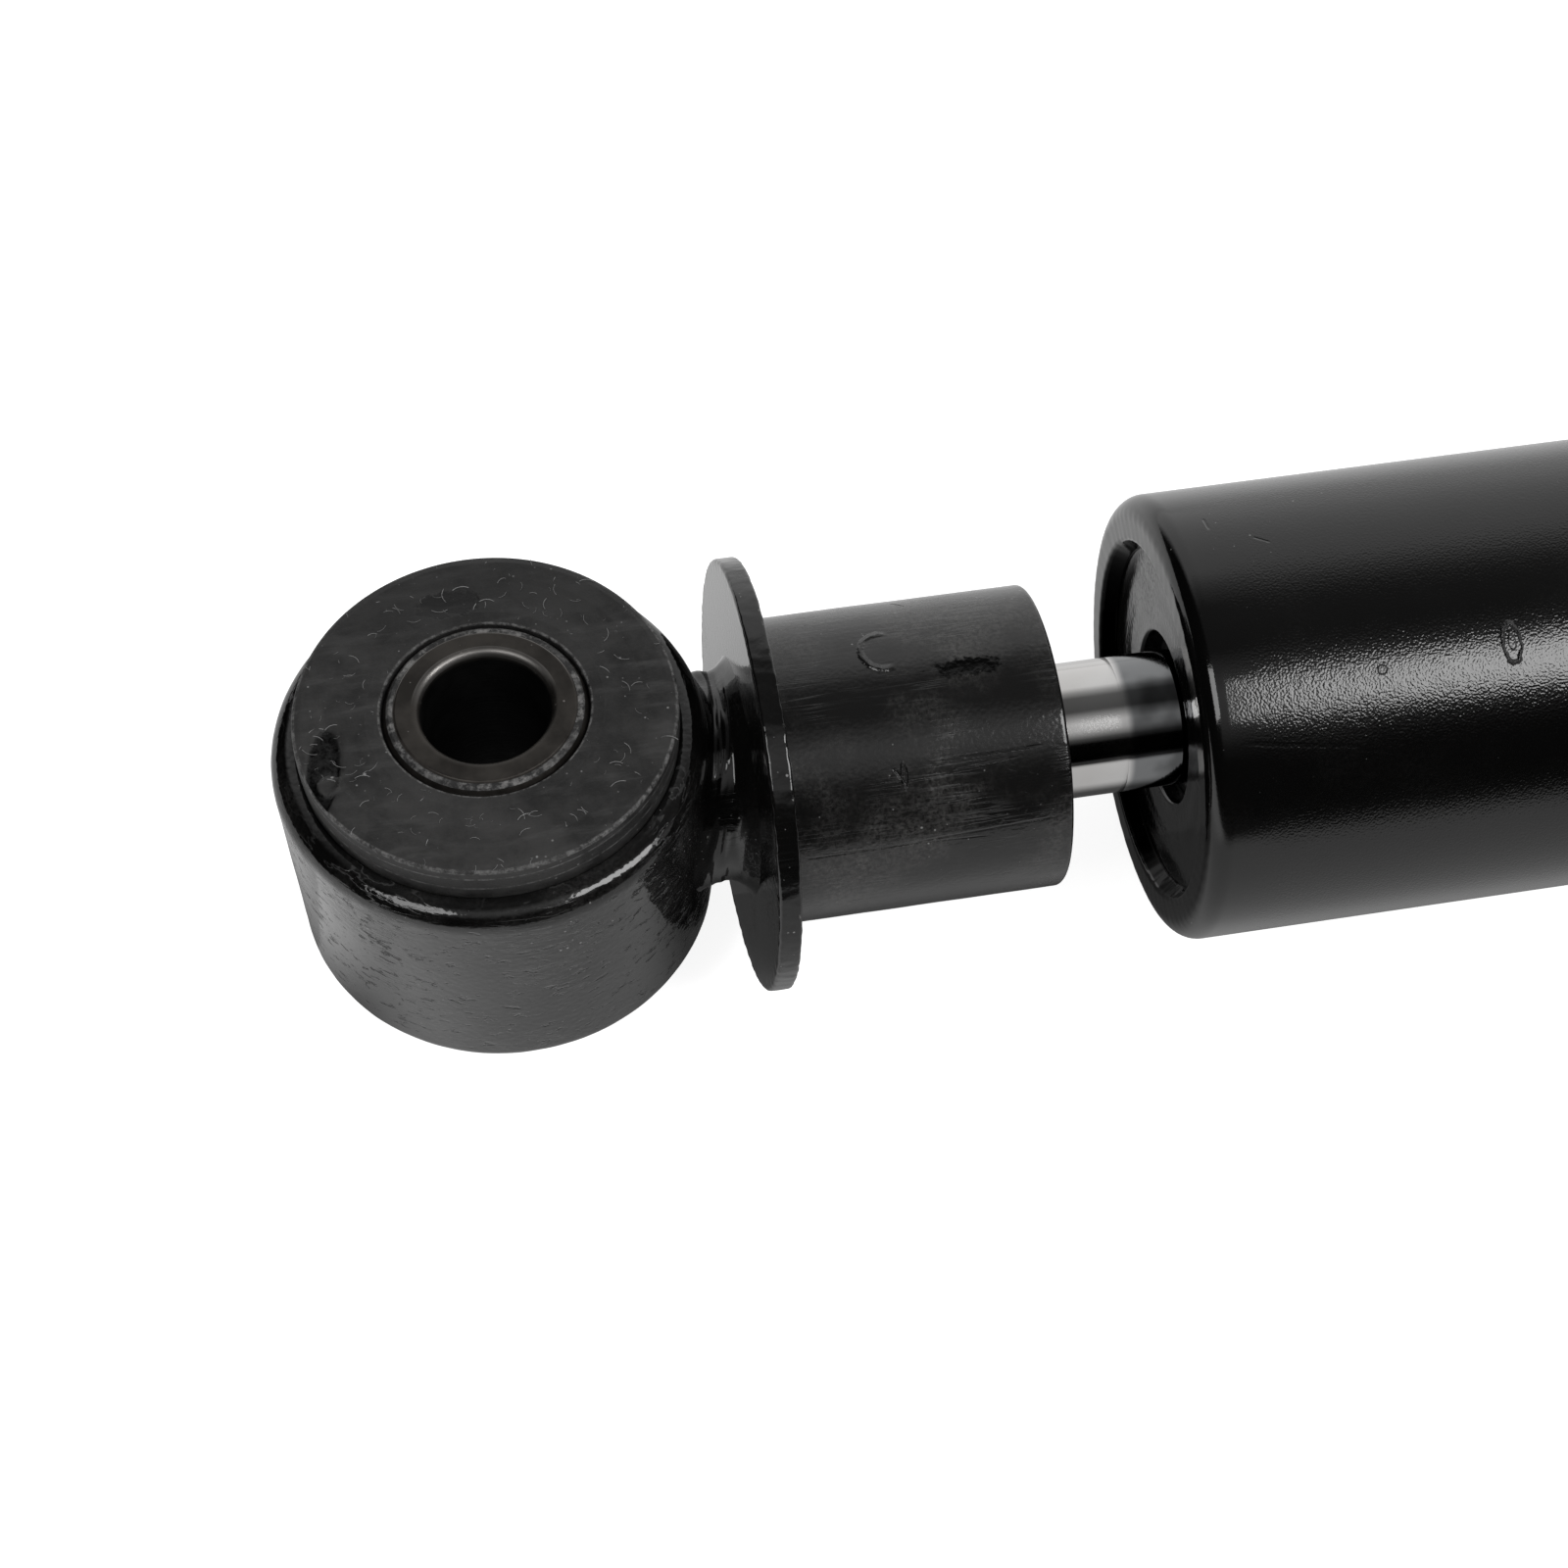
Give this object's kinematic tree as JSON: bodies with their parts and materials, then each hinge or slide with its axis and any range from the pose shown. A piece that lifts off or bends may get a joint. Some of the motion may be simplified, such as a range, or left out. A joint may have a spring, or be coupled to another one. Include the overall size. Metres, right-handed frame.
{
  "type": "golf cart shock absorber",
  "caption": "Twin-tube hydraulic shock absorber with rubber-bushed eyes at both ends, a chromed rod, a stop disc and a travel collar, drawn almost closed.",
  "frame": {"origin": "centre of the rod end's eye bore", "axes": "+X along the damper from the rod's eye to the body's eye, +Z along both eye bores, +Y across"},
  "size_m": [0.304, 0.0412, 0.0412],
  "materials": {
    "black_paint": "gloss, with a slight orange peel",
    "rubber": "matt moulded",
    "sleeve_steel": "dark phosphated, worn bright at the edges",
    "chrome": "polished hard chrome",
    "bare_steel": "turned, oiled",
    "spring_steel": "rolled and blued",
    "sintered_iron": "sintered, matt",
    "lined_bronze": "lined bronze",
    "band_plastic": "filled fluoroplastic"
  },
  "bodies": {
    "base_sleeve": {"base_eye_sleeve": "sleeve_steel"},
    "cylinder": {"base_eye_bushing": "rubber", "base_eye_ring": "black_paint", "base_eye_weld": "black_paint", "base_cap": "black_paint", "base_cap_weld": "black_paint", "reserve_tube": "black_paint", "end_cap": "black_paint", "rod_seal": "rubber", "seal_garter_spring": "spring_steel", "seal_washer": "bare_steel", "rod_guide": "sintered_iron", "guide_bush": "lined_bronze", "guide_seal_ring": "rubber", "pressure_tube": "bare_steel", "base_valve_body": "sintered_iron", "base_valve_pin": "bare_steel", "base_check_spring": "spring_steel", "compression_shims": "spring_steel"},
    "base_check": {"base_check_plate": "spring_steel"},
    "band": {"piston_band": "band_plastic"},
    "rod": {"piston_rod": "chrome", "rod_eye_weld": "black_paint", "rod_eye_ring": "black_paint", "rod_eye_bushing": "rubber", "stop_disc": "black_paint", "travel_collar": "black_paint", "rebound_stop_plate": "bare_steel", "rebound_bumper": "rubber", "piston_check_guide": "bare_steel", "piston_check_spring": "spring_steel", "piston_body": "sintered_iron", "rebound_shims": "spring_steel", "piston_washer": "bare_steel", "piston_nut": "bare_steel"},
    "piston_check": {"piston_check_plate": "spring_steel"},
    "rod_sleeve": {"rod_eye_sleeve": "sleeve_steel"}
  },
  "joints": [
    {"name": "base_eye_twist", "type": "hinge", "parent": "base_sleeve", "child": "cylinder", "pos_m": [0.266, 0, 0], "axis": [0, 0, 1], "range_deg": [-20, 20], "stiffness_Nm_per_rad": 30},
    {"name": "rod_stroke", "type": "slide", "parent": "cylinder", "child": "band", "axis": [1, 0, 0], "range_m": [-0.0884, 0.0116]},
    {"name": "rod_swivel", "type": "hinge", "parent": "band", "child": "rod", "pos_m": [0, 0, 0], "axis": [1, 0, 0], "continuous": true},
    {"name": "rod_eye_twist", "type": "hinge", "parent": "rod", "child": "rod_sleeve", "pos_m": [0, 0, 0], "axis": [0, 0, 1], "range_deg": [-20, 20], "stiffness_Nm_per_rad": 30},
    {"name": "piston_check_lift", "type": "slide", "parent": "rod", "child": "piston_check", "axis": [-1, 0, 0], "range_m": [0, 0.0008], "stiffness_N_per_m": 400, "springref_m": -0.002, "deforming": ["piston_check_spring"]},
    {"name": "base_check_lift", "type": "slide", "parent": "cylinder", "child": "base_check", "axis": [-1, 0, 0], "range_m": [0, 0.0008], "stiffness_N_per_m": 400, "springref_m": -0.002, "deforming": ["base_check_spring"]}
  ]
}
